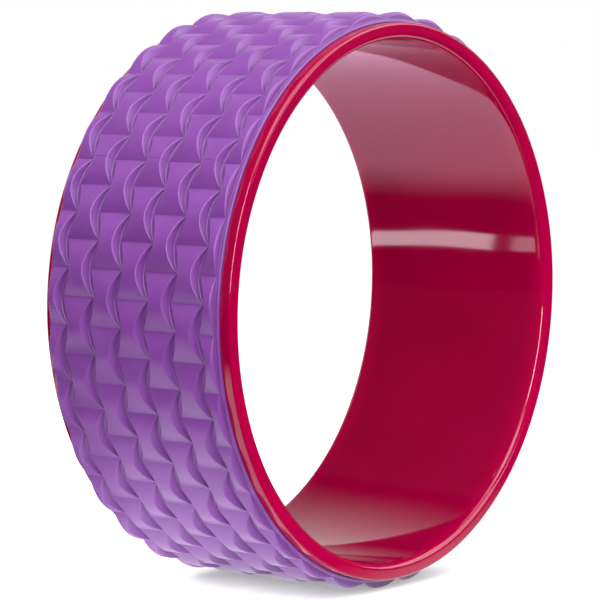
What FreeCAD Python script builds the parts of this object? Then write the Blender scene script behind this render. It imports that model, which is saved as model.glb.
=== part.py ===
import FreeCAD, Part
import math
import os

# Yoga wheel: a rigid moulded hoop, a strip of moulded foam bent round it and the film that bonds them.
# Millimetres, +Z up, origin at the centre of the wheel, +Y along its axis towards the back rim.

# Hoop
HOOP_WIDTH = 130.0
HOOP_OUTER_RADIUS = 159.0
FRONT_WALL = 9.3
INNER_DRAFT_DEGREES = 0.75
OUTER_EDGE_ROUND = 1.5
FRONT_MOUTH_ROUND = 3.7
BACK_MOUTH_ROUND = 2.5

# Bond between hoop and foam
FILM_THICKNESS = 0.2
FILM_CLEARANCE = 0.25
FILM_INSET = 1.5

# Foam strip: mean bare rim beside it, how far it is bonded off the middle, the plain flange along
# both of its edges, and its thickness on the floor, in the creases and on the bumps
BARE_RIM = 5.1
STRIP_SHIFT = 1.4
FLANGE = 2.3
FLOOR_THICKNESS = 1.0
CREASE_THICKNESS = 1.3
BUMP_THICKNESS = 5.3
SEAM_GAP = 0.3
SEAM_BUMPS_UP = 3
REST_FLAT = 0.5

# Relief: waisted bumps in columns side by side, each column turned half a bump from the next
BUMPS_PER_TURN = 32
COLUMN_PITCH = 19.2
WAIST_HOLLOW = 4.2
WALL_RUN = 2.75
TIP_GAP = 0.3

# Overrun of every cut, and how closely the edges of the strip's skin meet
CUT_OVERRUN = 1.0
SEWING_TOLERANCE = 0.001

STRIP_HALF = HOOP_WIDTH / 2 - BARE_RIM
RELIEF_HALF = STRIP_HALF - FLANGE
FILM_HALF = STRIP_HALF - FILM_INSET
FILM_INNER_RADIUS = HOOP_OUTER_RADIUS + FILM_CLEARANCE
FILM_OUTER_RADIUS = FILM_INNER_RADIUS + FILM_THICKNESS
BORE_RADIUS = FILM_OUTER_RADIUS + FILM_CLEARANCE
FLOOR_RADIUS = BORE_RADIUS + FLOOR_THICKNESS
CREASE_RADIUS = BORE_RADIUS + CREASE_THICKNESS
BUMP_RADIUS = BORE_RADIUS + BUMP_THICKNESS
BUMP_ANGLE = 2 * math.pi / BUMPS_PER_TURN
END_HALF = (COLUMN_PITCH - TIP_GAP + WAIST_HOLLOW) / 2
WAIST_HALF = END_HALF - WAIST_HOLLOW

CENTRE = FreeCAD.Vector(0, 0, 0)
AXIS = FreeCAD.Vector(0, 1, 0)


def outward(angle):
    """Direction away from the axis; the angle climbs from the -X side towards the top."""
    return FreeCAD.Vector(-math.cos(angle), 0, math.sin(angle))


def rim_point(radius, angle, y):
    """Point at a radius, an angle and a place along the axis."""
    return outward(angle) * radius + AXIS * y


def make_hoop():
    """Ring turned from its four corners, then rounded along its four rims."""
    front = -HOOP_WIDTH / 2
    back = HOOP_WIDTH / 2
    front_mouth = HOOP_OUTER_RADIUS - FRONT_WALL
    back_mouth = front_mouth - HOOP_WIDTH * math.tan(math.radians(INNER_DRAFT_DEGREES))
    corners = [
        (HOOP_OUTER_RADIUS, front, OUTER_EDGE_ROUND),
        (HOOP_OUTER_RADIUS, back, OUTER_EDGE_ROUND),
        (back_mouth, back, BACK_MOUTH_ROUND),
        (front_mouth, front, FRONT_MOUTH_ROUND),
    ]
    outline = [FreeCAD.Vector(radius, y, 0) for radius, y, _ in corners]
    section = Part.Face(Part.makePolygon(outline + outline[:1]))
    hoop = section.revolve(CENTRE, AXIS, 360)
    for radius, y, rounding in corners:
        hoop = hoop.makeFillet(rounding, [rim_edge(hoop, radius, y)])
    return hoop


def rim_edge(hoop, radius, y):
    """The circular edge of the hoop at a radius and a place along the axis."""
    circles = [edge for edge in hoop.Edges if isinstance(edge.Curve, Part.Circle)]
    return min(circles, key=lambda edge: math.hypot(edge.Curve.Radius - radius, edge.Curve.Center.y - y))


def crease_angle(index):
    """Angle of one crease of a column: even and odd columns stand evenly about the X and Z axes."""
    return BUMP_ANGLE / 4 if index % 2 == 0 else -BUMP_ANGLE / 4


def arch(end_radius, middle_radius, start, y):
    """Arc over one bump's angle."""
    return Part.Arc(
        rim_point(end_radius, start, y),
        rim_point(middle_radius, start + BUMP_ANGLE / 2, y),
        rim_point(end_radius, start + BUMP_ANGLE, y),
    ).toShape()


def between_arches(top, bottom, width):
    """Solid between two arcs over the same angle, drawn out along the axis."""
    sides = [Part.makeLine(bottom.Vertexes[end].Point, top.Vertexes[end].Point) for end in (0, 1)]
    outline = Part.Wire(Part.__sortEdges__([top, bottom] + sides))
    return Part.Face(outline).extrude(AXIS * width)


def strip_block(inner_radius, outer_radius, half_width, start):
    """Plain curved block about the middle of the strip, over one bump's angle."""
    edge = STRIP_SHIFT - half_width
    top = arch(outer_radius, outer_radius, start, edge)
    bottom = arch(inner_radius, inner_radius, start, edge)
    return between_arches(top, bottom, 2 * half_width)


def make_bump(start, middle):
    """One bump: an arch from crease to crease, waisted by a leaning cone on either side."""
    root = (BORE_RADIUS + FLOOR_RADIUS) / 2
    edge = middle - END_HALF
    bump = between_arches(
        arch(CREASE_RADIUS, BUMP_RADIUS, start, edge), arch(root, root, start, edge), 2 * END_HALF)

    foot = CREASE_RADIUS * math.cos(BUMP_ANGLE / 2)
    half_length = CREASE_RADIUS * math.sin(BUMP_ANGLE / 2)
    foot_round = (half_length ** 2 + WAIST_HOLLOW ** 2) / (2 * WAIST_HOLLOW)
    lean = WALL_RUN / (BUMP_RADIUS - foot)
    low = BORE_RADIUS * math.cos(BUMP_ANGLE / 2) - CUT_OVERRUN
    high = BUMP_RADIUS + CUT_OVERRUN
    peak = start + BUMP_ANGLE / 2
    for side in (-1, 1):
        cone = Part.makeCone(
            foot_round + (low - foot) * lean,
            foot_round + (high - foot) * lean,
            high - low,
            rim_point(low, peak, middle + side * (WAIST_HALF + foot_round)),
            outward(peak),
        )
        bump = bump.cut(cone)
    return bump


def make_sector(start):
    """The strip over one bump's angle: its floor, the even columns' bumps and halves of the odd ones."""
    last = math.floor((RELIEF_HALF + END_HALF) / COLUMN_PITCH)
    bumps = []
    for index in range(-last, last + 1):
        middle = STRIP_SHIFT + index * COLUMN_PITCH
        if index % 2 == 0:
            bumps.append(make_bump(start, middle))
        else:
            bumps.append(make_bump(start - BUMP_ANGLE / 2, middle))
            bumps.append(make_bump(start + BUMP_ANGLE / 2, middle))
    bounds = strip_block(BORE_RADIUS - CUT_OVERRUN, BUMP_RADIUS + CUT_OVERRUN, RELIEF_HALF, start)
    floor = strip_block(BORE_RADIUS, FLOOR_RADIUS, STRIP_HALF, start)
    return floor.multiFuse([bump.common(bounds) for bump in bumps])


def lies_across(face, angle):
    """Whether a face lies in the radial plane at an angle."""
    normal = outward(angle + math.pi / 2)
    return all(abs(vertex.Point.dot(normal)) < SEWING_TOLERANCE for vertex in face.Vertexes)


def make_film(seam):
    """The bond: a thin band under the strip, open at the strip's seam."""
    edge = FreeCAD.Vector(0, STRIP_SHIFT - FILM_HALF, 0)
    outer = Part.makeCylinder(FILM_OUTER_RADIUS, 2 * FILM_HALF, edge, AXIS)
    inner = Part.makeCylinder(FILM_INNER_RADIUS, 2 * FILM_HALF, edge, AXIS)
    return outer.cut([inner, seam])


def make_seam():
    """Thin slot where the ends of the strip meet, in a crease of the odd columns above the -X side."""
    low = HOOP_OUTER_RADIUS - CUT_OVERRUN
    high = BUMP_RADIUS + CUT_OVERRUN
    corner = FreeCAD.Vector(-high, -HOOP_WIDTH / 2, -SEAM_GAP / 2)
    slot = Part.makeBox(high - low, HOOP_WIDTH, SEAM_GAP, corner)
    slot.rotate(CENTRE, AXIS, math.degrees(crease_angle(1) + SEAM_BUMPS_UP * BUMP_ANGLE))
    return slot


def make_ground():
    """Block under the wheel, whose weight presses the lowest bumps flat."""
    straight_down = 3 * math.pi / 2
    off_bottom = min(
        abs(math.remainder(straight_down - crease_angle(index) - BUMP_ANGLE / 2, BUMP_ANGLE))
        for index in (0, 1)
    )
    level = REST_FLAT - BUMP_RADIUS * math.cos(off_bottom)
    depth = BUMP_RADIUS + level + CUT_OVERRUN
    corner = FreeCAD.Vector(-BUMP_RADIUS, -HOOP_WIDTH / 2, level - depth)
    return Part.makeBox(2 * BUMP_RADIUS, HOOP_WIDTH, depth, corner)


def make_foam(seam):
    """The whole strip: one sector's skin repeated round the wheel and closed, then cut at seam and ground."""
    start = crease_angle(0)
    ends = (start, start + BUMP_ANGLE)
    sector = make_sector(start)
    skin = [face for face in sector.Faces if not any(lies_across(face, end) for end in ends)]
    faces = []
    for bump in range(BUMPS_PER_TURN):
        for face in skin:
            turned = face.copy()
            turned.rotate(CENTRE, AXIS, math.degrees(bump * BUMP_ANGLE))
            faces.append(turned)
    strip = Part.makeCompound(faces)
    strip.sewShape(SEWING_TOLERANCE)
    foam = Part.makeSolid(strip.Shells[0]).removeSplitter()
    return foam.cut([seam, make_ground()])


def main():
    os.makedirs("parts", exist_ok=True)
    seam = make_seam()
    pieces = {
        "hoop": make_hoop(),
        "adhesive_film": make_film(seam),
        "foam_tread": make_foam(seam),
    }
    for name, shape in pieces.items():
        print(name, len(shape.Solids), "solid", len(shape.Faces), "faces", round(shape.Volume), "mm3")
        shape.exportStep("parts/" + name + ".step")


main()
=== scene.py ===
import math

import bpy
import numpy as np
from mathutils import Matrix, Vector


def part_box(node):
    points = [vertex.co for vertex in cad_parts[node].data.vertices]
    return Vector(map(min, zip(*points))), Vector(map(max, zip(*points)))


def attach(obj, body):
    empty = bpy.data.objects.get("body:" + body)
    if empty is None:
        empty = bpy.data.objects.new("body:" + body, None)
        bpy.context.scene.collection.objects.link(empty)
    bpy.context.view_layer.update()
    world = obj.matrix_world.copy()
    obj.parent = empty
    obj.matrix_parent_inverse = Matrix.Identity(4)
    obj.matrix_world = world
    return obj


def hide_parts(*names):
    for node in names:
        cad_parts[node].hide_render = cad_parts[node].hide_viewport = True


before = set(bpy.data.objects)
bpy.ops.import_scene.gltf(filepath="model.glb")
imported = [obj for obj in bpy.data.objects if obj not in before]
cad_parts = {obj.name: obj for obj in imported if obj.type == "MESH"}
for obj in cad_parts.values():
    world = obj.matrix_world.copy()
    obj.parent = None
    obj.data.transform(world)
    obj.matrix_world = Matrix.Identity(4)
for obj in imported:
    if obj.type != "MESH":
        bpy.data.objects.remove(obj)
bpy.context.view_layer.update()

# Yoga wheel in metres: +Y along the axis towards the back rim, angles climb from the -X side to the top

# Hoop: section and roundings
HOOP_LOW, HOOP_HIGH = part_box("hoop")
HOOP_RADIUS = 0.159
FRONT_MOUTH_RADIUS = 0.1497
BACK_MOUTH_RADIUS = 0.148
OUTER_EDGE_ROUND = 0.0015
FRONT_MOUTH_ROUND = 0.0037
BACK_MOUTH_ROUND = 0.0025
HOOP_STEPS = 576
WALL_STEPS = 40
ROUND_STEPS = 10

# Hoop: unevenness of the moulding, as waves per turn, their twist in radians per metre and a phase
WAVE_DEPTH = 0.00004
HOOP_WAVES = ((5, 0, 0.7), (9, 40, 2.1), (14, -60, 0))

# Foam strip: heights of its levels and the waisted bumps in columns across it
STRIP_LOW, STRIP_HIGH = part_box("foam_tread")
STRIP_MIDDLE = (STRIP_LOW.y + STRIP_HIGH.y) / 2
STRIP_HALF = (STRIP_HIGH.y - STRIP_LOW.y) / 2
REST_LEVEL = STRIP_LOW.z
BORE_RADIUS = 0.1597
LIP_RADIUS = 0.1592
LIP_WIDTH = 0.001
FLOOR_RADIUS = 0.1607
CREASE_RADIUS = 0.161
BUMP_RADIUS = 0.165
BUMPS_PER_TURN = 32
COLUMN_PITCH = 0.0192
COLUMNS_EACH_SIDE = 3
WAIST_HOLLOW = 0.0042
WALL_RUN = 0.00275
TIP_GAP = 0.0003
BUMP_ANGLE = 2 * math.pi / BUMPS_PER_TURN
END_HALF = (COLUMN_PITCH - TIP_GAP + WAIST_HOLLOW) / 2
WAIST_HALF = END_HALF - WAIST_HOLLOW

# Foam strip: roundings of its edges, the butt seam and the steps along it
BUMP_EDGE_ROUND = 0.0006
BUMP_FOOT_ROUND = 0.0005
END_EDGE_ROUND = 0.002
FLANGE_ROUND = 0.0011
CREASE_ROUND = 0.0003
SEAM_GAP = 0.0001
SEAM_ROUND = 0.0001
SEAM_BUMPS_UP = 3
HALF_BUMP_SHARES = (0, 0.02, 0.08, 0.24, 0.5, 0.76, 0.92, 0.98)
CORNER_STEPS = 3
BEND_SHARE = 0.38
SHOULDER_SHARE = 0.25

# Foam: colours, depth of its cells, and the painted shade that darkens the colour where the hollows
# shut out the sky
FOAM_DEEP = (0.24, 0.062, 0.36)
FOAM_PALE = (0.27, 0.071, 0.4)
FOAM_ROUGHNESS = (0.32, 0.4)
CELL_DEPTH = 0.0001
HOLLOW_REACH = 0.005
HOLLOW_OPENNESS = (0.35, 0.95)
HOLLOW_PAINTED_SHADES = (0.4, 1)

# Plastic: colours, depth of its peel, and the painted glow that pales the rims where light soaks in
# from two sides
PLASTIC_DEEP = (0.285, 0, 0.034)
PLASTIC_PALE = (0.315, 0, 0.038)
PLASTIC_ROUGHNESS = (0.04, 0.08)
PEEL_DEPTH = 0.0001
RIM_PAINTED_GLOW = (0.05, 0.064)
RIM_PAINTED_GLOW_GAIN = 0.32

# Adhesive
ADHESIVE_DEEP = (0.62, 0.55, 0.4)
ADHESIVE_PALE = (0.8, 0.76, 0.62)
ADHESIVE_ROUGHNESS = (0.4, 0.7)

# Range of a noise over which colours and roughnesses run from one end to the other
NOISE_RANGE = (0.3, 0.7)

# Photograph: its focal length and width in pixels, the camera's angles and the wheel's turn in degrees,
# the camera's distance and shifts in metres, and a sensor's width in millimetres
FOCAL_PIXELS = 3156.5
IMAGE_PIXELS = 600
CAMERA_AZIMUTH = -52.869
CAMERA_ELEVATION = 5.189
CAMERA_DISTANCE = 1.8377
CAMERA_RIGHT = 0.0069
CAMERA_UP = 0.00224
WHEEL_TURN = 0.39
SENSOR_WIDTH = 36

# Floor as the camera sees it, and its contact shadow
FLOOR_HALF = 6.0
FLOOR_GREY = 0.3
CONTACT_REACH = 0.02
CONTACT_SHADE = 0.35

# Floor as it throws light back and as the wheel mirrors it: a soft patch, rosy at the back, between
# edges in X, in Y, along slants and round a centre, each given as where it is dark and where it is full
FLOOR_BOUNCE = 0.85
ROSY_COLOUR = (1, 0.65, 0.9)
ROSY_STRENGTH = 1.82
WHITE_STRENGTH = 1.55
ROSY_BACK = (0.07, 0.13)
PATCH_RIGHT = (-0.095, 0.005)
PATCH_LEFT = (-0.29, -0.2)
PATCH_FRONT = (0.13, 0.07)
PATCH_CENTRE = (0.12, 0.12, REST_LEVEL)
PATCH_REACH = (1.4, 0.35)
BEHIND_SLOPE = 0.35
BEHIND = (-0.13, -0.03)
ASIDE_LEFT = (-0.5, -0.35)
ASIDE_NEAR = (0.05, -0.01)

# Bright band beside the patch, slanting, in a long part and a dimmer short one, its edges given alike
BAND_COLOUR = (1, 0.84, 0.95)
BAND_STRENGTH = 6
BAND_SLOPE = 0.57
BAND_SIDES = ((-0.365, -0.345), (-0.225, -0.24))
BAND_LONG_ENDS = ((0.098, 0.104), (0.34, 0.32))
BAND_SHORT_ENDS = ((0.06, 0.064), (0.086, 0.08))
BAND_SHORT_SHARE = 0.5

# Backdrop and room
BACKDROP_DISTANCE = 1.4
BACKDROP_HALF = 1.2
BACKDROP_HEIGHT = 2.6
BACKDROP_FADE = (2.1, 0.4)
ROOM_LIGHT = 0.03

# Lamps: place, target, width, height and watts. The second group lights the floor alone
CENTRE = (0, 0, 0)
LAMPS = {
    "left": ((-1.25, -0.78, 0.62), CENTRE, 0.3, 1.1, 17),
    "front": ((-0.3, -0.85, 1.2), CENTRE, 0.8, 0.8, 6.5),
    "right": ((1.2, -1.2, 1.0), CENTRE, 1.6, 1.6, 22),
    "overhead": ((-0.35, -0.2, 1.45), CENTRE, 1.7, 1.7, 16),
    "back": ((-0.15, 1.35, 0.5), CENTRE, 1.0, 1.0, 4),
}
FLOOR_LAMPS = {
    "table": ((-0.85, 0.1, 0.25), (-0.1, 0, REST_LEVEL), 0.4, 0.4, 9),
    "table_back": ((0.15, 0.8, 0.25), (0.05, 0.22, REST_LEVEL), 0.5, 0.5, 12),
}


def new_mesh(name, points, faces, flat=()):
    """Object from points and faces, smooth except for the faces listed as flat."""
    mesh = bpy.data.meshes.new(name)
    mesh.from_pydata(points, [], faces)
    mesh.polygons.foreach_set("use_smooth", [True] * len(faces))
    for index in flat:
        mesh.polygons[index].use_smooth = False
    mesh.validate()
    mesh.update()
    piece = bpy.data.objects.new(name, mesh)
    bpy.context.collection.objects.link(piece)
    return piece


def grid_faces(rows, columns, wrap_rows):
    """Quads of a grid of points stored row by row, closed across its columns."""
    row = np.arange(rows if wrap_rows else rows - 1)[:, None]
    column = np.arange(columns)[None, :]
    next_row = (row + 1) % rows
    next_column = (column + 1) % columns
    quads = np.stack(np.broadcast_arrays(
        next_row * columns + column,
        next_row * columns + next_column,
        row * columns + next_column,
        row * columns + column,
    ), axis=-1)
    return quads.reshape(-1, 4).tolist()


def turned(angles, y, radius):
    """Points of the wheel at angles, places along the axis and radii."""
    return np.stack([-radius * np.cos(angles), y, radius * np.sin(angles)], axis=-1)


def round_corner(corner, before, after, setback):
    """Smooth bend in place of a corner, set back from it along both sides, with its shoulders."""
    start = corner + before * setback[:, None]
    end = corner + after * setback[:, None]
    bend = [
        start * (1 - t) ** 2 + corner * (2 * t * (1 - t)) + end * t ** 2
        for t in np.linspace(0, 1, CORNER_STEPS + 1)
    ]
    beyond = setback[:, None] * SHOULDER_SHARE
    return [start + before * beyond, *bend, end + after * beyond]


def bump_top(angle):
    """Radius of a column's top at angles from a bump's peak, with the creases a little rounded."""
    half = BUMP_ANGLE / 2
    foot = CREASE_RADIUS * math.cos(half)
    rise = BUMP_RADIUS - foot
    arch_round = ((CREASE_RADIUS * math.sin(half)) ** 2 + rise ** 2) / (2 * rise)
    centre = BUMP_RADIUS - arch_round
    softened = half - np.hypot(half - np.abs(angle), CREASE_ROUND / CREASE_RADIUS)
    return centre * np.cos(softened) + np.sqrt(arch_round ** 2 - (centre * np.sin(softened)) ** 2)


def bump_side(angle, radius):
    """Distance of a bump's leaning, hollowed side from its column's middle, at a radius."""
    half = BUMP_ANGLE / 2
    foot = CREASE_RADIUS * math.cos(half)
    half_length = CREASE_RADIUS * math.sin(half)
    foot_round = (half_length ** 2 + WAIST_HOLLOW ** 2) / (2 * WAIST_HOLLOW)
    lean = WALL_RUN / (BUMP_RADIUS - foot)
    side_round = foot_round + (radius * np.cos(angle) - foot) * lean
    return WAIST_HALF + foot_round - np.sqrt(side_round ** 2 - (radius * np.sin(angle)) ** 2)


def strip_angles():
    """Angles of the strip's rows from one end at the seam to the other, close together at creases."""
    seam = (SEAM_BUMPS_UP - 1 / 4) * BUMP_ANGLE
    halves = np.arange(2 * BUMPS_PER_TURN)[:, None] + np.array(HALF_BUMP_SHARES)[None, :]
    turn = halves.ravel() * BUMP_ANGLE / 2
    gap = SEAM_GAP / 2 / BUMP_RADIUS
    bevel = SEAM_ROUND / BUMP_RADIUS
    inside = turn[(turn > gap + 2 * bevel) & (turn < 2 * math.pi - gap - 2 * bevel)]
    ends = np.array([gap, gap + bevel])
    return seam + np.concatenate([ends, inside, 2 * math.pi - ends[::-1]])


def angle_from_peak(angles, index):
    """Angles from the peak of the bump that a column has there."""
    crease = BUMP_ANGLE / 4 if index % 2 == 0 else -BUMP_ANGLE / 4
    return (angles - crease) % BUMP_ANGLE - BUMP_ANGLE / 2


def column_profile(angles, index):
    """Half of a column's section from its top out to the floor, as (offset, radius) at the angles."""
    from_peak = angle_from_peak(angles, index)
    top = bump_top(from_peak)
    floor = np.full_like(angles, FLOOR_RADIUS)
    edge = np.stack([bump_side(from_peak, top), top], axis=1)
    foot = np.stack([bump_side(from_peak, floor), floor], axis=1)
    gap = COLUMN_PITCH - foot[:, 0] - bump_side(angle_from_peak(angles, index + 1), floor)

    wall = foot - edge
    length = np.linalg.norm(wall, axis=1)
    down = wall / length[:, None]
    inward = np.tile([-1.0, 0.0], (len(angles), 1))
    edge_back = np.minimum(BUMP_EDGE_ROUND, BEND_SHARE * length)
    foot_back = np.minimum(np.minimum(BUMP_FOOT_ROUND, BEND_SHARE * length), BEND_SHARE * gap)
    edge_bend = round_corner(edge, inward, down, edge_back)
    foot_bend = round_corner(foot, -down, -inward, foot_back)
    return [*edge_bend, *foot_bend]


def end_profile(angles, index):
    """Section of the strip's edge beyond the half bump: end wall, flange and lip."""
    top = bump_top(angle_from_peak(angles, index))
    ones = np.ones_like(angles)
    flange = STRIP_HALF - COLUMNS_EACH_SIDE * COLUMN_PITCH
    out = np.tile([1.0, 0.0], (len(angles), 1))
    down = np.tile([0.0, -1.0], (len(angles), 1))

    height = top - FLOOR_RADIUS
    edge_back = np.minimum(END_EDGE_ROUND, BEND_SHARE * height)
    foot_back = np.minimum(BUMP_FOOT_ROUND, BEND_SHARE * height)
    edge = np.stack([0 * ones, top], axis=1)
    foot = np.stack([0 * ones, FLOOR_RADIUS * ones], axis=1)
    corner = np.stack([flange * ones, FLOOR_RADIUS * ones], axis=1)
    edge_bend = round_corner(edge, -out, down, edge_back)
    foot_bend = round_corner(foot, -down, out, foot_back)
    corner_bend = round_corner(corner, -out, down, FLANGE_ROUND * ones)

    lip = flange - LIP_WIDTH
    lip_places = ((flange, LIP_RADIUS), (lip, LIP_RADIUS), (lip, BORE_RADIUS))
    lip_bend = [np.stack([offset * ones, radius * ones], axis=1) for offset, radius in lip_places]
    return [*edge_bend, (edge_bend[-1] + foot_bend[0]) / 2, *foot_bend, *corner_bend, *lip_bend]


def make_tread():
    """The foam strip: a closed section carried round the hoop from one end at the seam to the other."""
    angles = strip_angles()
    outline = []
    for index in range(-COLUMNS_EACH_SIDE, COLUMNS_EACH_SIDE + 1):
        near = far = column_profile(angles, index)
        if index == -COLUMNS_EACH_SIDE:
            near = end_profile(angles, index)
        if index == COLUMNS_EACH_SIDE:
            far = end_profile(angles, index)
        middle = STRIP_MIDDLE + index * COLUMN_PITCH
        outline += [(middle - points[:, 0], points[:, 1]) for points in near[::-1]]
        outline += [(middle + points[:, 0], points[:, 1]) for points in far]
    y = np.stack([places for places, _ in outline], axis=1)
    radius = np.stack([radii for _, radii in outline], axis=1)
    for end in (0, -1):
        radius[end] -= np.where(radius[end] > BORE_RADIUS, SEAM_ROUND, 0)
    points = turned(angles[:, None], y, radius)
    points[..., 2] = np.maximum(points[..., 2], REST_LEVEL)

    rows, columns = y.shape
    sides = grid_faces(rows, columns, False)
    first_cap = list(range(columns))[::-1]
    last_cap = list(range((rows - 1) * columns, rows * columns))
    faces = sides + [first_cap, last_cap]
    return new_mesh("tread", points.reshape(-1, 3), faces, (len(sides), len(sides) + 1))


def hoop_section():
    """Closed outline of the hoop's section as (y, radius) points, rounded at its four corners."""
    front, back = HOOP_LOW.y, HOOP_HIGH.y
    corners = [
        (Vector((front, HOOP_RADIUS)), OUTER_EDGE_ROUND),
        (Vector((back, HOOP_RADIUS)), OUTER_EDGE_ROUND),
        (Vector((back, BACK_MOUTH_RADIUS)), BACK_MOUTH_ROUND),
        (Vector((front, FRONT_MOUTH_RADIUS)), FRONT_MOUTH_ROUND),
    ]
    outline = []
    for number, (corner, rounding) in enumerate(corners):
        before = (corners[number - 1][0] - corner).normalized()
        after = (corners[(number + 1) % len(corners)][0] - corner).normalized()
        half = before.angle(after) / 2
        centre = corner + (before + after).normalized() * rounding / math.sin(half)
        start = corner + before * rounding / math.tan(half) - centre
        end = corner + after * rounding / math.tan(half) - centre
        sweep = start.angle_signed(end)
        if outline:
            last = outline[-1]
            first = centre + start
            outline += [last.lerp(first, step / WALL_STEPS) for step in range(1, WALL_STEPS)]
        for step in range(ROUND_STEPS + 1):
            outline.append(centre + Matrix.Rotation(-sweep * step / ROUND_STEPS, 2) @ start)
    last, first = outline[-1], outline[0]
    outline += [last.lerp(first, step / ROUND_STEPS) for step in range(1, ROUND_STEPS)]
    return np.array(outline)


def make_hoop():
    """The hoop: its section turned about the axis, with the faint unevenness of a moulding."""
    section = hoop_section()
    angles = np.linspace(0, 2 * math.pi, HOOP_STEPS, endpoint=False)[:, None]
    y, even_radius = section[None, :, 0], section[None, :, 1]
    wave = sum(np.sin(count * angles + twist * y + phase) for count, twist, phase in HOOP_WAVES)
    radius = even_radius + WAVE_DEPTH * wave
    points = turned(angles, np.broadcast_to(y, radius.shape), radius)
    return new_mesh("hoop_shell", points.reshape(-1, 3), grid_faces(HOOP_STEPS, len(section), True))


def feed(tree, node, inputs):
    """Link inputs of a node to the sockets given for them, or set them to the values given."""
    for name, value in inputs.items():
        if isinstance(value, bpy.types.NodeSocket):
            tree.links.new(value, node.inputs[name])
        else:
            node.inputs[name].default_value = value


def add_node(tree, kind, inputs):
    """New node with its inputs linked or set."""
    node = tree.nodes.new(kind)
    feed(tree, node, inputs)
    return node


def calculate(tree, operation, first, second=0):
    """Result of a Math node's operation on sockets or numbers."""
    node = tree.nodes.new("ShaderNodeMath")
    node.operation = operation
    feed(tree, node, {0: first, 1: second})
    return node.outputs["Value"]


def product(tree, first, *others):
    """Product of sockets or numbers."""
    for other in others:
        first = calculate(tree, "MULTIPLY", first, other)
    return first


def map_range(tree, source, limits, results, interpolation="LINEAR"):
    """Number that runs from one result to the other as the source goes between its limits."""
    node = tree.nodes.new("ShaderNodeMapRange")
    node.interpolation_type = interpolation
    feed(tree, node, {
        "Value": source,
        "From Min": limits[0],
        "From Max": limits[1],
        "To Min": results[0],
        "To Max": results[1],
    })
    return node.outputs["Result"]


def fade(tree, source, edge):
    """Number that goes smoothly from 0 at the edge's first place to 1 at its second."""
    results = (0, 1) if edge[0] < edge[1] else (1, 0)
    return map_range(tree, source, sorted(edge), results, "SMOOTHSTEP")


def noise(tree, place, scale, detail):
    """Noise with a scale in cells per metre."""
    inputs = {"Vector": place, "Scale": scale, "Detail": detail}
    return add_node(tree, "ShaderNodeTexNoise", inputs).outputs["Fac"]


def ramp(tree, source, deep, pale):
    """Colour that runs from deep to pale over a noise's range."""
    node = add_node(tree, "ShaderNodeValToRGB", {"Fac": source})
    for element, position, colour in zip(node.color_ramp.elements, NOISE_RANGE, (deep, pale)):
        element.position = position
        element.color = (*colour, 1)
    return node.outputs["Color"]


def brightened(tree, colour, gain):
    """Colour times a number."""
    node = tree.nodes.new("ShaderNodeVectorMath")
    node.operation = "SCALE"
    feed(tree, node, {0: colour, "Scale": gain})
    return node.outputs["Vector"]


def bump(tree, height, distance, strength):
    """Normals of a surface raised by a height, up to a distance in metres."""
    inputs = {"Height": height, "Distance": distance, "Strength": strength}
    return add_node(tree, "ShaderNodeBump", inputs).outputs["Normal"]


def new_material(name):
    """New node material, its tree, its shader and the coordinates of the piece that wears it."""
    material = bpy.data.materials.new(name)
    material.use_nodes = True
    tree = material.node_tree
    place = tree.nodes.new("ShaderNodeTexCoord").outputs["Object"]
    return material, tree, tree.nodes["Principled BSDF"], place


def foam_material():
    """Matt moulded EVA: faintly cloudy colour, painted shade darkening it in the hollows, and fine
    cells in the skin.
    """
    material, tree, shader, place = new_material("tread_foam")
    clouds = noise(tree, place, scale=60, detail=4)
    cells = noise(tree, place, scale=2600, detail=3)
    # Painted shade: the colour is darkened where ambient occlusion finds the hollows shut in
    openness = add_node(tree, "ShaderNodeAmbientOcclusion", {"Distance": HOLLOW_REACH}).outputs["AO"]
    painted_shade = map_range(tree, openness, HOLLOW_OPENNESS, HOLLOW_PAINTED_SHADES)
    feed(tree, shader, {
        "Base Color": brightened(tree, ramp(tree, clouds, FOAM_DEEP, FOAM_PALE), painted_shade),
        "Roughness": map_range(tree, clouds, NOISE_RANGE, FOAM_ROUGHNESS),
        "Normal": bump(tree, cells, CELL_DEPTH, strength=0.25),
        "IOR": 1.6,
        "Sheen Weight": 0.08,
        "Sheen Roughness": 0.5,
    })
    return material


def plastic_material():
    """Glossy moulded plastic, a little uneven in gloss and surface, with a painted glow paling it
    towards its rims.
    """
    material, tree, shader, place = new_material("hoop_plastic")
    clouds = noise(tree, place, scale=25, detail=3)
    peel = noise(tree, place, scale=220, detail=2)
    along_axis = add_node(tree, "ShaderNodeSeparateXYZ", {"Vector": place}).outputs["Y"]
    # Painted glow: the colour is paler near both rims, standing in for light that soaks through the
    # thin plastic
    painted_rim_glow = fade(tree, calculate(tree, "ABSOLUTE", along_axis), RIM_PAINTED_GLOW)
    gain = calculate(tree, "ADD", product(tree, painted_rim_glow, RIM_PAINTED_GLOW_GAIN), 1)
    feed(tree, shader, {
        "Base Color": brightened(tree, ramp(tree, clouds, PLASTIC_DEEP, PLASTIC_PALE), gain),
        "Roughness": map_range(tree, clouds, NOISE_RANGE, PLASTIC_ROUGHNESS),
        "Normal": bump(tree, peel, PEEL_DEPTH, strength=0.03),
        "IOR": 1.58,
    })
    return material


def adhesive_material():
    """Dried contact adhesive: yellowish, a little streaky."""
    material, tree, shader, place = new_material("adhesive")
    streaks = noise(tree, place, scale=120, detail=4)
    feed(tree, shader, {
        "Base Color": ramp(tree, streaks, ADHESIVE_DEEP, ADHESIVE_PALE),
        "Roughness": map_range(tree, streaks, NOISE_RANGE, ADHESIVE_ROUGHNESS),
    })
    return material


def dress(piece, material):
    """Give a piece its material, in place of any it had."""
    piece.data.materials.clear()
    piece.data.materials.append(material)


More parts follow.
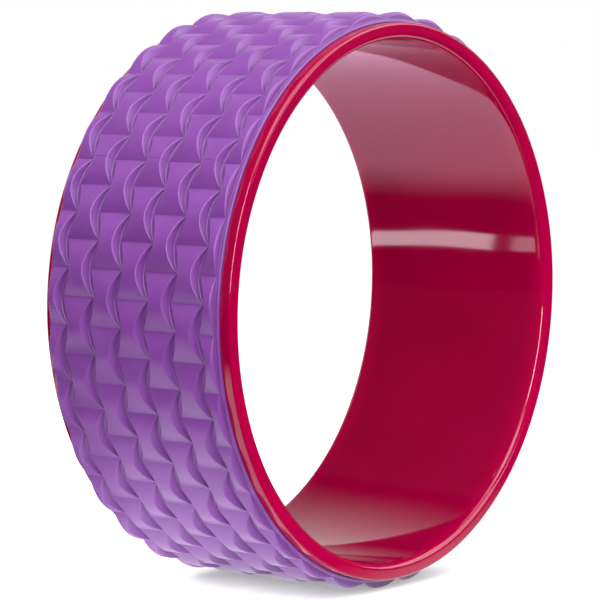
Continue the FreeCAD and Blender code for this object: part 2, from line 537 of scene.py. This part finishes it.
def make_pieces():
    """The visible pieces on the wheel's one body, with their looks, hiding the solids they stand for.
    """
    tread = make_tread()
    dress(tread, foam_material())
    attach(tread, "root")
    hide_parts("foam_tread")

    hoop = make_hoop()
    dress(hoop, plastic_material())
    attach(hoop, "root")
    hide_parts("hoop")

    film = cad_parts["adhesive_film"]
    dress(film, adhesive_material())


def glow(tree, kind, strength, colour=(1, 1, 1)):
    """Emission or Background shader of a strength and a colour."""
    return add_node(tree, kind, {"Color": (*colour, 1), "Strength": strength}).outputs[0]


def added(tree, first, second):
    """Sum of two shaders."""
    return add_node(tree, "ShaderNodeAddShader", {0: first, 1: second}).outputs["Shader"]


def choose(tree, condition, otherwise, where):
    """Shader that is one where the condition is 1 and another elsewhere."""
    node = add_node(tree, "ShaderNodeMixShader", {"Fac": condition, 1: otherwise, 2: where})
    return node.outputs["Shader"]


def stage_plane(name, corners):
    """Flat rectangle of the stage, and its material's tree."""
    mesh = bpy.data.meshes.new(name)
    mesh.from_pydata(corners, [], [(0, 1, 2, 3)])
    plane = bpy.data.objects.new(name, mesh)
    bpy.context.collection.objects.link(plane)
    material = bpy.data.materials.new(name)
    material.use_nodes = True
    mesh.materials.append(material)
    return plane, material.node_tree


def contact_floor(tree):
    """Floor as the camera sees it: white, with the wheel's shadows."""
    shader = tree.nodes["Principled BSDF"]
    feed(tree, shader, {
        "Base Color": (FLOOR_GREY, FLOOR_GREY, FLOOR_GREY, 1),
        "Roughness": 0.9,
        "Specular IOR Level": 0.1,
    })
    openness = add_node(tree, "ShaderNodeAmbientOcclusion", {"Distance": CONTACT_REACH}).outputs["AO"]
    white = calculate(tree, "ADD", product(tree, openness, 1 - CONTACT_SHADE), CONTACT_SHADE)
    return added(tree, shader.outputs["BSDF"], glow(tree, "ShaderNodeEmission", white))


def slanted(tree, place, slope):
    """Place along Y, shifted by a slope times X."""
    return calculate(tree, "ADD", place["Y"], product(tree, place["X"], slope))


def between(tree, source, edges):
    """Number that is 1 between two edges and fades to 0 beyond them."""
    return product(tree, fade(tree, source, edges[0]), fade(tree, source, edges[1]))


def patch_share(tree, position, place):
    """How full the soft patch of the floor is at a place, before its slanting edge cuts it."""
    distance = tree.nodes.new("ShaderNodeVectorMath")
    distance.operation = "DISTANCE"
    feed(tree, distance, {0: position, 1: PATCH_CENTRE})
    right = fade(tree, place["X"], PATCH_RIGHT)
    front = fade(tree, place["Y"], PATCH_FRONT)
    left = fade(tree, place["X"], PATCH_LEFT)
    share = calculate(tree, "MAXIMUM", right, product(tree, front, left))
    return product(tree, share, fade(tree, distance.outputs["Value"], PATCH_REACH))


def soft_light(tree, place, patch, along_band):
    """Soft part of the mirrored floor: the patch, rosy at the back, and the white floor on its left."""
    aside = product(tree, fade(tree, place["X"], ASIDE_LEFT), fade(tree, along_band, ASIDE_NEAR))
    behind = fade(tree, slanted(tree, place, BEHIND_SLOPE), BEHIND)
    rosy = product(tree, patch, fade(tree, place["Y"], ROSY_BACK))
    white = calculate(tree, "SUBTRACT", calculate(tree, "MAXIMUM", patch, aside), rosy)
    rosy_strength = product(tree, rosy, ROSY_STRENGTH, behind)
    white_strength = product(tree, white, WHITE_STRENGTH, behind)
    return added(
        tree,
        glow(tree, "ShaderNodeEmission", rosy_strength, ROSY_COLOUR),
        glow(tree, "ShaderNodeEmission", white_strength),
    )


def band_light(tree, place, along_band):
    """Bright band of the mirrored floor."""
    short_part = product(tree, between(tree, along_band, BAND_SHORT_ENDS), BAND_SHORT_SHARE)
    parts = calculate(tree, "ADD", between(tree, along_band, BAND_LONG_ENDS), short_part)
    band = product(tree, between(tree, place["X"], BAND_SIDES), parts, BAND_STRENGTH)
    return glow(tree, "ShaderNodeEmission", band, BAND_COLOUR)


def mirrored_floor(tree, place, patch):
    """Floor as gloss mirrors it: the soft light and the bright band of the studio."""
    along_band = slanted(tree, place, BAND_SLOPE)
    soft = soft_light(tree, place, patch, along_band)
    return added(tree, soft, band_light(tree, place, along_band))


def make_floor():
    """Floor: white to the camera, patchy in the wheel's gloss and in the light that it throws back."""
    signs = ((-1, -1), (1, -1), (1, 1), (-1, 1))
    corners = [(x * FLOOR_HALF, y * FLOOR_HALF, REST_LEVEL) for x, y in signs]
    floor, tree = stage_plane("floor", corners)
    position = tree.nodes.new("ShaderNodeNewGeometry").outputs["Position"]
    place = add_node(tree, "ShaderNodeSeparateXYZ", {"Vector": position}).outputs
    patch = patch_share(tree, position, place)
    bounce = add_node(tree, "ShaderNodeBsdfDiffuse", {"Color": product(tree, patch, FLOOR_BOUNCE)})

    path = tree.nodes.new("ShaderNodeLightPath").outputs
    seen = choose(tree, path["Is Camera Ray"], bounce.outputs["BSDF"], contact_floor(tree))
    seen = choose(tree, path["Is Glossy Ray"], seen, mirrored_floor(tree, place, patch))
    feed(tree, tree.nodes["Material Output"], {"Surface": seen})
    return floor


def make_backdrop():
    """White wall behind the wheel, seen only in reflections, fading towards its top."""
    azimuth = math.radians(CAMERA_AZIMUTH)
    away = Vector((-math.sin(azimuth), math.cos(azimuth), 0))
    side = Vector((math.cos(azimuth), math.sin(azimuth), 0)) * BACKDROP_HALF
    foot = away * BACKDROP_DISTANCE + Vector((0, 0, REST_LEVEL))
    rise = Vector((0, 0, BACKDROP_HEIGHT))
    corners = [foot - side, foot + side, foot + side + rise, foot - side + rise]
    wall, tree = stage_plane("backdrop", corners)
    tree.nodes.remove(tree.nodes["Principled BSDF"])
    position = tree.nodes.new("ShaderNodeNewGeometry").outputs["Position"]
    level = add_node(tree, "ShaderNodeSeparateXYZ", {"Vector": position}).outputs["Z"]
    white = glow(tree, "ShaderNodeEmission", fade(tree, level, BACKDROP_FADE))
    feed(tree, tree.nodes["Material Output"], {"Surface": white})
    wall.visible_camera = False
    wall.visible_diffuse = False
    wall.visible_shadow = False


def area_light(name, place, target, width, height, power):
    """Rectangular soft light at a place, aimed at a target."""
    light = bpy.data.lights.new(name, "AREA")
    light.shape = "RECTANGLE"
    light.size = width
    light.size_y = height
    light.energy = power
    lamp = bpy.data.objects.new(name, light)
    lamp.location = place
    lamp.rotation_euler = (Vector(target) - Vector(place)).to_track_quat("-Z", "Y").to_euler()
    lamp.visible_camera = False
    bpy.context.collection.objects.link(lamp)
    return lamp


def make_light(floor):
    """Room light that is white to the camera, the lamps, and the lamps that light the floor alone."""
    world = bpy.data.worlds.new("studio")
    bpy.context.scene.world = world
    world.use_nodes = True
    tree = world.node_tree
    path = tree.nodes.new("ShaderNodeLightPath").outputs
    room = glow(tree, "ShaderNodeBackground", ROOM_LIGHT)
    white = glow(tree, "ShaderNodeBackground", 1)
    seen = choose(tree, path["Is Camera Ray"], room, white)
    feed(tree, tree.nodes["World Output"], {"Surface": seen})

    for name, values in LAMPS.items():
        area_light(name, *values)
    for name, values in FLOOR_LAMPS.items():
        lamp = area_light(name, *values)
        receivers = bpy.data.collections.new(name + "_receivers")
        receivers.objects.link(floor)
        lamp.light_linking.receiver_collection = receivers


def make_camera():
    """Camera fitted to the outlines of the hoop in the photograph."""
    azimuth, elevation = math.radians(CAMERA_AZIMUTH), math.radians(CAMERA_ELEVATION)
    back = Vector((
        math.sin(azimuth) * math.cos(elevation),
        -math.cos(azimuth) * math.cos(elevation),
        math.sin(elevation),
    ))
    right = Vector((math.cos(azimuth), math.sin(azimuth), 0))
    up = back.cross(right)
    place = back * CAMERA_DISTANCE - right * CAMERA_RIGHT - up * CAMERA_UP
    axes = Matrix((right, up, back)).transposed().to_4x4()
    data = bpy.data.cameras.new("camera")
    data.sensor_width = SENSOR_WIDTH
    data.lens = SENSOR_WIDTH * FOCAL_PIXELS / IMAGE_PIXELS
    camera = bpy.data.objects.new("camera", data)
    turn = Matrix.Rotation(math.radians(-WHEEL_TURN), 4, "Y")
    camera.matrix_world = turn @ Matrix.Translation(place) @ axes
    bpy.context.collection.objects.link(camera)
    bpy.context.scene.camera = camera


make_pieces()
white_floor = make_floor()
make_backdrop()
make_light(white_floor)
make_camera()
bpy.context.scene.view_settings.view_transform = "Standard"
